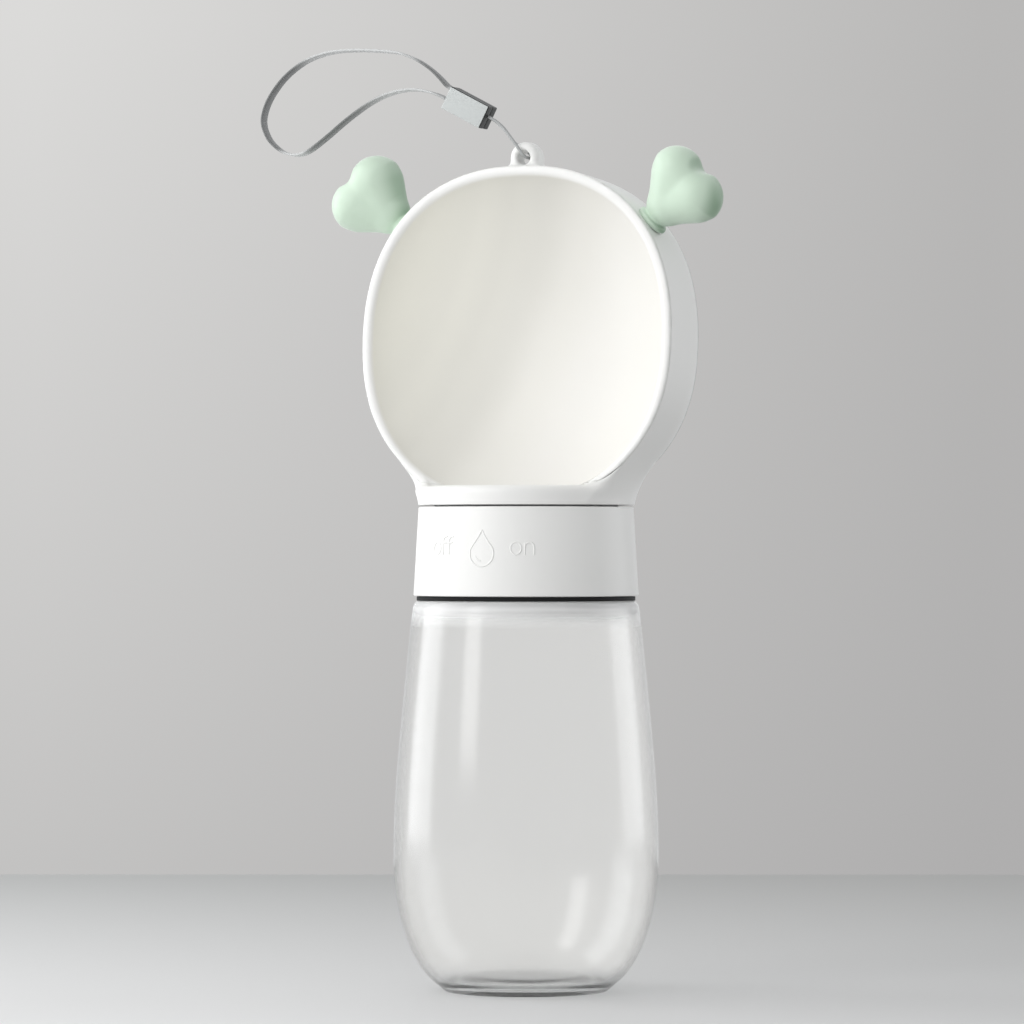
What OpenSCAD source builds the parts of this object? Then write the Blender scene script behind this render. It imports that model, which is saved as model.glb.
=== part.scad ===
// Travel water bottle for dogs: a clear bottle, a turning collar with its valve,
// a round drinking dish on top, two heart ears and a wrist strap. Millimetres.
// Origin: centre of the base, on the floor. The dish faces -Y, +Z is up.

/* [Bottle] */
// Largest radius of the bottle
bottle_r = 37.6; // [34:0.2:42]
// Height of the widest place of the bottle
belly_z = 38; // [30:1:46]
// Radius of the ring that the bottle stands on
foot_r = 19.5; // [16:0.5:24]
// Height of the shoulder, where the clear body ends
shoulder_z = 110.6; // [100:0.2:120]
// Softness of the turn from the belly into the sloping wall
taper_soft = 0.35; // [0.2:0.01:0.5]
// Wall thickness of the bottle
bottle_wall = 2; // [1.2:0.2:3]
// How far the middle of the base is pushed up
punt_h = 2.4; // [1:0.2:5]
// Height of the mouth above the shoulder
mouth_h = 15.4; // [12:0.2:20]

/* [Collar] */
// Outer radius of the collar at its lower edge
collar_low_r = 31.95; // [31:0.05:34]
// How much narrower the collar is at its upper edge
collar_draft = 1.45; // [0.5:0.05:3]
// Wall thickness of the collar at its upper edge
collar_wall = 1.9; // [1.2:0.1:3]
// Height of the collar
collar_h = 25.2; // [24.8:0.1:28]
// Wall thickness of the threaded cap's skirt
skirt_wall = 2.6; // [1.6:0.1:3.2]
// Thickness of the dark ring under the collar
shoulder_ring_h = 1.2; // [0.8:0.1:2]

/* [Valve] */
// Thickness of the cap's deck
deck_h = 3; // [2:0.2:4]
// Thickness of the mouth gasket
gasket_h = 1.4; // [1:0.1:2.4]
// Thickness of the soft valve seat
seat_h = 1.6; // [1:0.1:2.4]
// Thickness of the turning valve disc
rotor_h = 3.7; // [2.6:0.1:4.2]
// Distance of the water port from the axis
port_at = 15; // [12:0.5:18]
// Radius of the water port
port_r = 2.5; // [1.5:0.1:3]
// Angle between shut and open, each side of the middle
valve_angle = 24; // [15:1:40]
// Radius of the pivot screw's shank
pivot_r = 2; // [1.5:0.1:2.5]
// Running clearance round the pivot screw
pivot_fit = 0.08; // [0.04:0.01:0.15]

/* [Head] */
// Half the width of the head
head_a = 47.7; // [44:0.1:52]
// Height of the head above its widest place
head_up = 49.5; // [46:0.1:54]
// Depth of the head below its widest place
head_down = 46.3; // [45:0.1:48]
// Squareness of the head's outline, 2 is an ellipse
head_power = 2.27; // [2:0.01:2.6]
// Depth of the head from the rim to the back
head_depth = 30; // [27:0.5:36]
// How far the rim stands in front of the axis
rim_front = 8.4; // [6:0.2:12]
// Lean of the dish away from its user, in degrees
head_lean = 3.5; // [0:0.5:8]
// Wall thickness of the head's shell
shell_wall = 2; // [1.4:0.1:2.6]
// Thickness of the dish's rim band
rim_h = 1.2; // [1:0.1:3]
// Depth of the drinking dish
dish_depth = 20; // [14:0.5:23]
// Wall thickness of the dish
dish_wall = 1.8; // [1.2:0.1:2.4]
// Height of the lip in front of the dish
lip_h = 2.6; // [1.5:0.1:4]
// Width of the lip in front of the dish
lip_w = 2.2; // [1.4:0.1:3]

/* [Ears] */
// Distance of an ear's seat from the middle
ear_x = 38.3; // [36:0.1:41]
// Height of an ear's seat above the head's widest place
ear_up = 33; // [31:0.1:35]
// Angle of an ear from upright
ear_angle = 49; // [40:1:60]
// Distance of the ears behind the axis
ear_back = 1; // [1:0.5:4]
// Radius of a heart's lobes
lobe_r = 7.4; // [6:0.1:8]
// Distance of a lobe from the heart's middle line
lobe_side = 4.4; // [3.5:0.1:5.5]
// Distance of the lobes from the heart's tip
lobe_out = 10.6; // [9:0.1:13]
// Radius of the flange under a heart
ear_flange_r = 4.8; // [4:0.1:4.8]

/* [Lanyard] */
// Width of the lug on top of the head
lug_w = 8.9; // [7:0.1:10]
// Thickness of the lug
lug_t = 6.3; // [5.5:0.1:6.8]
// Height of the lug's hole above the head's widest place
lug_up = 51.8; // [51.8:0.1:52.6]
// Radius of the lug's hole
lug_hole_r = 2; // [1.9:0.05:2.4]
// Diameter of the thin cord
cord_d = 0.9; // [0.6:0.05:1]
// Width of the wrist strap
strap_w = 5; // [3:0.1:6]
// Thickness of the wrist strap
strap_t = 0.7; // [0.5:0.05:1]
// Length of the clasp
clasp_l = 13.5; // [13:0.5:15]
// Height of the clasp
clasp_h = 6.9; // [6:0.1:8]
// Thickness of the clasp
clasp_t = 6; // [5.4:0.1:8]

/* [Hidden] */

$fn = 96;
thin = 0.02;    // thickness of a slice inside a hull
white = "#f3f3f0";
mint = "#bfe0c4";
clear = "#dfe9ea";
soft_grey = "#d5d8d6";
dark = "#26282a";
steel = "#b9bdc0";

// Radii that follow the collar
collar_top_r = collar_low_r - collar_draft;
collar_bore_r = collar_top_r - collar_wall;
thread_fit = 0.35;
cap_out_r = collar_bore_r - 1.65;
cap_in_r = cap_out_r - skirt_wall;
mouth_r = cap_in_r - thread_fit;

// Heights of the stack, from the bottle up to the head
mouth_z = shoulder_z + mouth_h;
collar_z = shoulder_z + shoulder_ring_h + 0.2;
collar_top_z = collar_z + collar_h;
flat_gap = 0.05;    // between flat faces that rub
gasket_z = mouth_z + flat_gap;
deck_z = gasket_z + gasket_h + flat_gap;
seat_z = deck_z + deck_h;
rotor_gap = 0.2;
rotor_z = seat_z + seat_h + rotor_gap;
rotor_top_z = rotor_z + rotor_h;
seam = 0.5;         // the dark line between the collar and the head
neck_z = collar_top_z + seam;
neck_roof_z = neck_z + 0.8;
floor_h = 2;
trough_z = neck_roof_z + floor_h;
lip_z = trough_z + lip_h;

// Threaded cap
cap_skirt_z = collar_z + 0.6;
boss_h = 3.4;
boss_r = 4;
press = 0.05;       // between pieces pressed together

// Valve
washer_h = 0.5;
washer_r = 5;
screw_head_h = 1.3;
screw_head_r = 4;
spigot_r = collar_bore_r - 0.3;
spigot_in_r = spigot_r - 2.1;
oring_r = 0.75;
oring_at = spigot_r + 0.2 - oring_r;
oring_z = neck_z - 2.6;
grommet_flange = 0.8;

// Head
drum_z = trough_z - shell_wall + head_down - 0.2;
band_start = rim_h + 0.2;
cover_h = 7.5;          // depth of the rounded back
cover_start = head_depth - cover_h;
band_end = cover_start - 0.2;
seal_in = 0.6;
seal_out = 1.5;
seal_h = 1.2;
dish_gap = 0.3;     // between the dish's skin and the shell
rim_w = shell_wall + 0.6;
outline_points = 72;
reach = 2 * head_a;     // larger than anything that is cut with it

// Bottle outline
taper_start = belly_z + 2;
taper_l = shoulder_z - taper_start;
shoulder_turn = 8;      // height of the turn from the wall into the shoulder
shoulder_r = collar_low_r;
base_steps = 14;
taper_steps = 12;
shoulder_round = 1.2;

// Share of the whole taper at a share of its height: soft at first, then straight
function taper_share(t) =
    (sqrt(t * t + taper_soft * taper_soft) - taper_soft) / (sqrt(1 + taper_soft * taper_soft) - taper_soft);
function upper_r(z) = bottle_r - (bottle_r - shoulder_r) * taper_share((z - taper_start) / taper_l);

// Outer wall from the foot to just below the shoulder, moved inwards by inset
function wall_points(inset) = concat(
    [for (i = [0:base_steps]) let (t = 90 * i / base_steps)
        [foot_r + (bottle_r - foot_r - inset) * sin(t), belly_z - (belly_z - inset) * cos(t)]],
    [for (i = [0:taper_steps]) let (z = taper_start + (taper_l - shoulder_turn) * i / taper_steps)
        [upper_r(z) - inset, z]]);

module bottle() {
    neck_in_r = mouth_r - bottle_wall - 0.2;
    top_r = upper_r(shoulder_z);
    color(clear, 0.35)
        rotate_extrude()
            polygon(concat(
                [[0, punt_h], [foot_r - 8, punt_h], [foot_r - 4.5, 0]],
                wall_points(0),
                [[upper_r(shoulder_z - shoulder_round), shoulder_z - shoulder_round],
                 [top_r - 0.35, shoulder_z - 0.35],
                 [top_r - shoulder_round, shoulder_z],
                 [mouth_r, shoulder_z], [mouth_r, mouth_z], [neck_in_r, mouth_z],
                 [neck_in_r, shoulder_z - bottle_wall - 1],
                 [top_r - bottle_wall - 4, shoulder_z - bottle_wall - 1],
                 [top_r - bottle_wall - 1.2, shoulder_z - bottle_wall - 2]],
                [for (i = [len(wall_points(0)) - 1:-1:0]) wall_points(bottle_wall)[i]],
                [[foot_r - 4.5, bottle_wall], [foot_r - 8, punt_h + bottle_wall],
                 [0, punt_h + bottle_wall]]));
}

module shoulder_ring() {
    color(dark)
        translate([0, 0, shoulder_z + 0.05])
            difference() {
                cylinder(h = shoulder_ring_h, r = collar_low_r - 0.9);
                translate([0, 0, -1]) cylinder(h = shoulder_ring_h + 2, r = mouth_r + 0.1);
            }
}

module mouth_gasket() {
    color(soft_grey)
        translate([0, 0, gasket_z])
            difference() {
                cylinder(h = gasket_h, r = mouth_r);
                translate([0, 0, -1]) cylinder(h = gasket_h + 2, r = mouth_r - 3.4);
            }
}

// A water port, turned from the front by angle
module port(angle, r, z, h) {
    rotate([0, 0, angle]) translate([0, -port_at, z]) cylinder(h = h, r = r, $fn = 48);
}

// Deck with a skirt round the bottle's mouth
module threaded_cap() {
    color(white)
        difference() {
            union() {
                translate([0, 0, deck_z]) cylinder(h = deck_h, r = collar_bore_r - press);
                translate([0, 0, cap_skirt_z]) cylinder(h = deck_z - cap_skirt_z, r = cap_out_r);
            }
            difference() {
                translate([0, 0, cap_skirt_z - 1]) cylinder(h = deck_z - cap_skirt_z + 1, r = cap_in_r);
                translate([0, 0, deck_z - boss_h]) cylinder(h = boss_h + 1, r = boss_r, $fn = 48);
            }
            port(valve_angle, port_r + 0.3, deck_z - 1, deck_h + 2);
            translate([0, 0, deck_z - boss_h - 1])
                cylinder(h = deck_h + boss_h + 2, r = pivot_r + press, $fn = 48);
        }
}

// Outer grip ring; it carries the marks for shut and open
module collar_ring() {
    edge = 0.5;
    color(white)
        rotate_extrude()
            polygon([[collar_bore_r, collar_z + 1], [collar_bore_r + 1, collar_z],
                [collar_low_r - edge, collar_z], [collar_low_r, collar_z + edge],
                [collar_top_r + 0.02, collar_top_z - edge], [collar_top_r - edge, collar_top_z],
                [collar_bore_r, collar_top_z]]);
}

module valve_seat() {
    color(soft_grey)
        difference() {
            translate([0, 0, seat_z]) cylinder(h = seat_h, r = spigot_in_r - 2.2);
            port(valve_angle, port_r, seat_z - 1, seat_h + 2);
            translate([0, 0, seat_z - 1]) cylinder(h = seat_h + 2, r = pivot_r + pivot_fit, $fn = 48);
        }
}

// Turning disc, keyed under the head's floor by its raised edge
module valve_disc() {
    r = spigot_in_r - press;
    color("#e9ebea")
        difference() {
            translate([0, 0, rotor_z]) cylinder(h = neck_roof_z - rotor_z, r = r);
            translate([0, 0, rotor_top_z]) cylinder(h = neck_roof_z, r = r - 2.4);
            port(0, port_r, rotor_z - 1, rotor_h + 2);
            translate([0, 0, rotor_z - 1]) cylinder(h = rotor_h + 2, r = pivot_r + pivot_fit, $fn = 48);
        }
}

module neck_oring() {
    color(dark)
        translate([0, 0, oring_z])
            rotate_extrude() translate([oring_at, 0]) circle(r = oring_r, $fn = 24);
}

module pivot_screw() {
    head_z = rotor_top_z + 0.2 + washer_h;
    color(steel)
        difference() {
            union() {
                translate([0, 0, deck_z - boss_h]) cylinder(h = head_z - deck_z + boss_h + 0.2, r = pivot_r, $fn = 48);
                translate([0, 0, head_z]) cylinder(h = screw_head_h, r = screw_head_r, $fn = 48);
            }
            translate([0, 0, head_z + 0.6]) cylinder(h = 2, r = pivot_r - 0.4, $fn = 6);
        }
}

module pivot_washer() {
    color(steel)
        translate([0, 0, rotor_top_z + 0.2])
            difference() {
                cylinder(h = washer_h, r = washer_r, $fn = 48);
                translate([0, 0, -1]) cylinder(h = washer_h + 2, r = pivot_r + press, $fn = 48);
            }
}

// Soft lining of the outlet, from the valve disc into the dish's trough
module outlet_grommet() {
    color(soft_grey)
        difference() {
            union() {
                port(0, port_r + 1, rotor_top_z, trough_z - rotor_top_z + 0.2);
                port(0, port_r + 2.2, trough_z, grommet_flange);
            }
            port(0, port_r, rotor_top_z - 1, trough_z);
        }
}

// The head's outline, its points run anticlockwise; inset moves it inwards
function squared(v, half) = half * sign(v) * pow(abs(v), 2 / head_power);
function outline(inset, share = 1) = [for (i = [0:outline_points - 1])
    let (t = 360 * (i + 0.5) / outline_points, up = sin(t) > 0 ? head_up : head_down)
    [share * squared(cos(t), head_a - inset), share * squared(sin(t), up - inset)]];

// Places what is drawn with its depth along Y into the leaning head
module in_head() {
    translate([0, -rim_front, drum_z]) rotate([-head_lean, 0, 0]) children();
}

// A plate of the outline between two depths
module plate(inset, from, to, share = 1) {
    translate([0, to, 0]) rotate([90, 0, 0]) linear_extrude(to - from) polygon(outline(inset, share));
}

module ring_plate(outside, inside, from, to) {
    difference() {
        plate(outside, from, to);
        plate(inside, from - 1, to + 1);
    }
}

// Solid of the neck, from the collar's seam to the foot of the head
module neck_solid(grow = 0) {
    rotate_extrude()
        polygon([[0, neck_z - grow], [collar_top_r - 0.4, neck_z - grow], [collar_top_r + grow, neck_z + 0.4 - grow],
            [collar_top_r + grow, lip_z - 0.6], [collar_top_r - 0.6 + grow, lip_z + grow],
            [collar_top_r - 2.2 + grow, lip_z + 3 + grow], [collar_top_r - 4.4 + grow, lip_z + 6 + grow],
            [0, lip_z + 6 + grow]]);
}

// Fillets at both sides of the neck, where the head springs from it
module neck_flare() {
    flare_r = 9;
    steps = 8;
    from_z = lip_z - 3;
    spread = 40;
    intersection() {
        in_head() translate([-reach, band_start, -reach]) cube([2 * reach, band_end - band_start, 2 * reach]);
        translate([0, reach, 0]) rotate([90, 0, 0])
            linear_extrude(2 * reach)
                polygon(concat(
                    [[-collar_top_r, neck_z + 1]],
                    [for (i = [0:steps]) let (t = spread * i / steps)
                        [-collar_top_r - flare_r * (1 - cos(t)), from_z + flare_r * sin(t)]],
                    [for (i = [steps:-1:0]) let (t = spread * i / steps)
                        [collar_top_r + flare_r * (1 - cos(t)), from_z + flare_r * sin(t)]],
                    [[collar_top_r, neck_z + 1]]));
        rotate_extrude()
            polygon([[0, neck_z + 1], [collar_top_r, neck_z + 1], [collar_top_r, from_z],
                [collar_top_r + 3, from_z + flare_r], [0, from_z + flare_r]]);
    }
}

// Open space in front of the dish, down to the floor of the trough
module trough_space() {
    intersection() {
        union() {
            translate([0, 0, trough_z]) cylinder(h = head_down, r = collar_top_r - lip_w);
            translate([0, 0, lip_z]) cylinder(h = head_down, r = collar_top_r + 5);
        }
        in_head() translate([-reach, -reach, -reach]) cube([2 * reach, reach + band_start, 2 * reach]);
    }
}

module lug() {
    translate([0, lug_t / 2 + 1, drum_z]) rotate([90, 0, 0])
        linear_extrude(lug_t)
            difference() {
                union() {
                    translate([0, lug_up]) circle(d = lug_w, $fn = 64);
                    translate([-lug_w / 2, head_up - 1.5]) square([lug_w, lug_up - head_up + 1.5]);
                }
                translate([0, lug_up]) circle(r = lug_hole_r, $fn = 48);
            }
}

// Places an ear on the head's side, its own +Z pointing outwards
module at_ear(side) {
    translate([side * ear_x, ear_back, drum_z + ear_up]) rotate([0, side * ear_angle, 0]) children();
}

ear_plug_r = 2.5;
ear_plug_h = 3.7;
ear_seat_h = 0.5;

module head_shell() {
    color(white)
        difference() {
            union() {
                in_head() plate(0, band_start, band_end);
                neck_solid();
                neck_flare();
                translate([0, 0, neck_z - 5]) cylinder(h = 5.5, r = spigot_r);
                lug();
            }
            in_head() plate(shell_wall, band_start - 1, band_end + 1);
            trough_space();
            translate([0, 0, neck_z - 6]) cylinder(h = neck_roof_z - neck_z + 6, r = spigot_in_r);
            port(0, port_r + 1.02, neck_roof_z - 1, trough_z);
            neck_groove();
            seal_groove(band_start - 1, rim_h + seal_h);
            seal_groove(band_end - seal_h + 0.2, band_end + 1);
            rear_space();
            for (side = [-1, 1])
                at_ear(side) {
                    translate([0, 0, -8]) cylinder(h = 12, r = ear_plug_r + press, $fn = 48);
                    translate([0, 0, -ear_seat_h]) cylinder(h = 6, r = ear_flange_r + 0.1, $fn = 48);
                }
        }
}

// Groove of the O-ring round the spigot
module neck_groove() {
    groove_h = 2 * oring_r + 0.2;
    translate([0, 0, oring_z - groove_h / 2])
        difference() {
            cylinder(h = groove_h, r = spigot_r + 2);
            translate([0, 0, -1]) cylinder(h = groove_h + 2, r = oring_at - oring_r - press);
        }
}

// Groove of a perimeter seal; it stops where the neck begins
module seal_groove(from, to) {
    difference() {
        in_head() ring_plate(seal_in - press, seal_out + press, from, to);
        translate([0, 0, neck_z - 1]) cylinder(h = lip_z - neck_z + 6, r = collar_top_r + 8);
    }
}

module seal(from, to) {
    difference() {
        in_head() ring_plate(seal_in, seal_out, from, to);
        translate([0, 0, neck_z - 1]) cylinder(h = lip_z - neck_z + 6.1, r = collar_top_r + 8);
    }
}

module dish_seal() {
    color(soft_grey) seal(rim_h, rim_h + seal_h);
}

module rear_seal() {
    color(soft_grey) seal(band_end - seal_h + 0.2, cover_start);
}

// Hollow of the dish, or the outside of its skin where skin is its thickness
dish_steps = 9;
module dish_form(inset, depth) {
    share_step = 84 / dish_steps;
    hull()
        for (i = [0:dish_steps]) {
            t = share_step * i;
            translate([0, depth * sin(t), 0]) plate(inset, -thin, 0, cos(t));
        }
}

module drinking_dish() {
    color("#efeeea")
        difference() {
            in_head()
                difference() {
                    union() {
                        plate(0, 0, rim_h);
                        dish_form(shell_wall + dish_gap, dish_depth + dish_wall);
                    }
                    dish_form(rim_w, dish_depth);
                    plate(rim_w, -1, 0);
                }
            translate([0, 0, neck_z - 2]) cylinder(h = trough_z - neck_z + 2.1, r = collar_top_r + 10);
            translate([0, 0, -1]) port(0, port_r + 2.3, trough_z, grommet_flange + 1.1);
        }
}

// Rounded back of the head; inset is the wall's thickness for the hollow
cover_turn = [[0.12, 0.56], [0.32, 0.24], [0.67, 0.07], [1.2, 0.003]];   // shares of cover_h: inwards, before the back
module cover_form(inset, start) {
    back = head_depth - inset;
    hull() {
        plate(inset, start, start + thin);
        for (turn = cover_turn)
            plate(inset + cover_h * turn[0], back - cover_h * turn[1], back - cover_h * turn[1] + thin);
    }
}

// Foot of the rear cover, in the head's own height, where it meets the neck
cover_lift = 4;
cover_foot = lip_z + cover_lift - drum_z;

// Space of the rear cover above its foot
module rear_space() {
    in_head() translate([-reach, cover_start - 0.1, cover_foot - 0.1]) cube([2 * reach, reach, 2 * reach]);
}

module rear_cover() {
    color(white)
        in_head()
            intersection() {
                difference() {
                    cover_form(0, cover_start);
                    cover_form(shell_wall, cover_start - 1);
                }
                translate([-reach, cover_start - 1, cover_foot]) cube([2 * reach, reach, 2 * reach]);
            }
}

// Puffy heart on a stem, with its flange and the plug that goes through the wall
module heart() {
    tip_r = 3.4;
    tip_z = 4.6;
    middle_r = lobe_r - 0.4;
    for (lobe = [-1, 1])
        hull() {
            translate([0, 0, tip_z]) sphere(r = tip_r, $fn = 24);
            translate([0, 0, tip_z + lobe_out - middle_r]) sphere(r = middle_r, $fn = 32);
            translate([lobe * lobe_side, 0, tip_z + lobe_out]) sphere(r = lobe_r, $fn = 32);
        }
    translate([0, 0, 1]) cylinder(h = tip_z - 1, r1 = 3.3, r2 = 2.8, $fn = 48);
    translate([0, 0, -ear_seat_h]) cylinder(h = 1.6, r = ear_flange_r, $fn = 48);
    translate([0, 0, -ear_plug_h]) cylinder(h = ear_plug_h, r = ear_plug_r, $fn = 48);
}

module ear_heart(side) {
    color(mint) at_ear(side) heart();
}

module ear_clip(side) {
    clip_h = 0.6;
    color(soft_grey)
        at_ear(side)
            translate([0, 0, -shell_wall - 1 - clip_h])
                difference() {
                    cylinder(h = clip_h, r = ear_plug_r + 1, $fn = 48);
                    translate([0, 0, -1]) cylinder(h = clip_h + 2, r = ear_plug_r + press, $fn = 48);
                }
}

// Clasp: two halves, the front one in front of the strap's middle plane
clasp_x = -17.3;
clasp_y = -1;
clasp_up = 251.1;
clasp_angle = 27.5;
clasp_seam = 0.1;

module clasp_half(side) {
    half_t = (clasp_t - clasp_seam) / 2;
    round_r = 0.8;
    translate([clasp_x, clasp_y + side * (half_t + clasp_seam) / 2, clasp_up])
        rotate([0, clasp_angle, 0]) rotate([90, 0, 0])
            translate([0, 0, -half_t / 2])
                linear_extrude(half_t)
                    union() {
                        square([clasp_l, clasp_h - 2 * round_r], center = true);
                        square([clasp_l - 2 * round_r, clasp_h], center = true);
                        for (x = [-1, 1], z = [-1, 1])
                            translate([x * (clasp_l / 2 - round_r), z * (clasp_h / 2 - round_r)])
                                circle(r = round_r, $fn = 24);
                    }
}

module clasp_front() {
    color("#eef0ee") clasp_half(-1);
}

module clasp_back() {
    color("#e4e6e4") clasp_half(1);
}

// Route of the thin cord: from the clasp, in front of the lug, through its hole,
// round behind it and back to the clasp beside the first strand
cord_route = [
    [-10.77, -1.8, 248.26], [-9.5, -1.95, 247.55], [-8.2, -2.15, 246.7], [-6.5, -2.5, 245.3],
    [-4.8, -2.8, 243.7], [-3.1, -3.0, 241.7], [-1.7, -3.1, 239.9], [-0.6, -3.1, 238.4],
    [0.1, -2.95, 237.4], [0.5, -2.3, 236.75], [0.6, -1.3, 236.45], [0.6, 0, 236.4],
    [0.6, 1.3, 236.4], [0.6, 2.6, 236.4], [0.5, 3.9, 236.5], [0.1, 4.75, 236.9],
    [-0.9, 5.1, 237.7], [-2.3, 5.1, 238.7], [-3.8, 4.6, 239.8], [-5.0, 3.6, 241.0],
    [-5.7, 2.4, 242.3], [-6.3, 1.3, 243.7], [-7.2, 0.6, 245.1], [-8.5, 0.2, 246.4],
    [-9.7, -0.1, 247.35], [-10.91, -0.2, 248.0]];

// Route of the wrist strap, in the plane of the clasp
strap_route = [
    [-22.2, 256.58], [-23.2, 257.1], [-24.5, 258.1], [-26.2, 259.9], [-28.5, 262.0], [-30.8, 263.7],
    [-33.2, 265.2], [-35.9, 266.4], [-38.9, 267.5], [-42.6, 268.1], [-46.6, 268.5], [-50.6, 268.8],
    [-54.7, 268.9], [-58.7, 268.8], [-62.1, 268.4], [-65.5, 267.6], [-68.9, 266.4], [-72.3, 264.5],
    [-75.4, 262.2], [-77.9, 259.7], [-80.2, 256.7], [-81.8, 253.8], [-82.7, 250.9], [-82.8, 248.8],
    [-82.2, 246.5], [-80.8, 243.9], [-78.8, 241.9], [-76.8, 240.5], [-74.4, 239.6], [-72.0, 239.3],
    [-69.3, 239.8], [-66.9, 241.0], [-64.2, 242.8], [-61.4, 244.8], [-58.1, 247.3], [-54.7, 249.7],
    [-51.3, 251.9], [-47.9, 253.8], [-43.9, 255.5], [-39.9, 256.5], [-36.5, 256.9], [-33.2, 256.8],
    [-29.8, 256.1], [-27.5, 255.4], [-25.6, 254.6], [-23.79, 253.8]];
// Turn of the strap's width about the vertical, away from the clasp
strap_turn = 9;

function unit(v) = v / norm(v);
function along(route, i) = unit(route[min(i + 1, len(route) - 1)] - route[max(i - 1, 0)]);

// Tube of eight sides through rings of points, with closed ends
module tube(rings) {
    sides = len(rings[0]);
    last = len(rings) - 1;
    polyhedron(
        points = [for (ring = rings) for (p = ring) p],
        faces = concat(
            [[for (k = [0:sides - 1]) k]],
            [[for (k = [sides - 1:-1:0]) last * sides + k]],
            [for (i = [0:last - 1], k = [0:sides - 1])
                let (n = (k + 1) % sides, a = i * sides, b = a + sides)
                for (f = [[a + k, b + k, b + n], [a + k, b + n, a + n]]) f]),
        convexity = 8);
}

module lanyard_cord() {
    across = [0.6, 0, 0.8];
    r = cord_d / 2;
    color(soft_grey)
        tube([for (i = [0:len(cord_route) - 1])
            let (t = along(cord_route, i), b = unit(cross(t, across)), n = cross(b, t))
            [for (k = [0:7]) cord_route[i] + r * (cos(45 * k) * n + sin(45 * k) * b)]]);
}

module wrist_strap() {
    route = [for (p = strap_route) [p[0], clasp_y, p[1]]];
    last = len(route) - 1;
    half_w = strap_w / 2;
    half_t = strap_t / 2;
    section = [[half_w, 0.4], [half_w - 0.4, 1], [0.4 - half_w, 1], [-half_w, 0.4],
        [-half_w, -0.4], [0.4 - half_w, -1], [half_w - 0.4, -1], [half_w, -0.4]];
    color("#c9cdcc", 0.7)
        tube([for (i = [0:len(route) - 1])
            let (turn = strap_turn * min(1, min(i, last - i) / 4), side = [-sin(turn), cos(turn), 0],
                n = cross(side, along(route, i)))
            [for (c = section) route[i] + c[0] * side + c[1] * half_t * n]]);
}

bottle();
shoulder_ring();
mouth_gasket();
threaded_cap();
collar_ring();
valve_seat();
valve_disc();
neck_oring();
pivot_screw();
pivot_washer();
outlet_grommet();
head_shell();
drinking_dish();
dish_seal();
rear_cover();
rear_seal();
ear_heart(-1);  // ear_heart_left
ear_heart(1);  // ear_heart_right
ear_clip(-1);  // ear_clip_left
ear_clip(1);  // ear_clip_right
lanyard_cord();
clasp_front();
clasp_back();
wrist_strap();
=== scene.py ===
import math

import bmesh
import bpy
import numpy as np
from mathutils import Matrix, Vector


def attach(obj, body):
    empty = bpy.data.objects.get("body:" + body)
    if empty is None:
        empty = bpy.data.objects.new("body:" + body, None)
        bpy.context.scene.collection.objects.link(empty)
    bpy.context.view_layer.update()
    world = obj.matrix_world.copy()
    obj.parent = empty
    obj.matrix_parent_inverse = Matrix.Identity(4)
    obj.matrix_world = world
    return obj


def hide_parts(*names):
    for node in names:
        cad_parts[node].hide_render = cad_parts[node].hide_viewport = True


# A clear travel bottle for dogs, with a turning collar and a round drinking dish.
# Shapes are written in millimetres and become metres when a mesh is made. The camera, the
# lights and the materials are in metres.
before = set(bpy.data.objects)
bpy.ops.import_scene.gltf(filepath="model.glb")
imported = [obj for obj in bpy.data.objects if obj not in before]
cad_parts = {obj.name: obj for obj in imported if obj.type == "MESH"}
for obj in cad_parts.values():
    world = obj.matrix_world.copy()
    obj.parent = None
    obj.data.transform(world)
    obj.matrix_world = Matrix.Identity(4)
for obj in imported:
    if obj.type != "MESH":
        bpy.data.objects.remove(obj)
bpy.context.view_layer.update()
mm = 0.001

view = dict(azimuth=24.0, distance=1.5, eyeHeight=0.125, lens=185.7, sensor=36,
            turnLeft=0.152, lookUp=0.412)
turn = math.radians(view["azimuth"])
towardsCamera = Vector((math.sin(turn), -math.cos(turn), 0))
rightOfView = Vector((math.cos(turn), math.sin(turn), 0))


def linked(name, data):
    thing = bpy.data.objects.new(name, data)
    bpy.context.scene.collection.objects.link(thing)
    return thing


def addCamera():
    data = bpy.data.cameras.new("studioCamera")
    data.lens = view["lens"]
    data.sensor_width = view["sensor"]
    camera = linked("studioCamera", data)
    camera.location = towardsCamera * view["distance"] + Vector((0, 0, view["eyeHeight"]))
    heading = math.radians(view["azimuth"] + view["turnLeft"])
    camera.rotation_euler = (math.radians(90 + view["lookUp"]), 0, heading)
    bpy.context.scene.camera = camera
    bpy.context.scene.view_settings.view_transform = "Standard"


def softLight(name, angle, height, distance, aimHeight, width, tall, power, tint=(1, 1, 1),
              mirrored=True):
    # angle goes round the object from the camera, positive to the right in the picture
    data = bpy.data.lights.new(name, "AREA")
    data.shape = "RECTANGLE"
    data.size, data.size_y = width, tall
    data.energy = power
    data.color = tint
    lamp = linked(name, data)
    a = turn + math.radians(angle)
    place = Vector((math.sin(a), -math.cos(a), 0)) * distance + Vector((0, 0, height))
    lamp.location = place
    lamp.rotation_euler = (Vector((0, 0, aimHeight)) - place).to_track_quat("-Z", "Y").to_euler()
    lamp.visible_glossy = lamp.visible_transmission = mirrored


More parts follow.
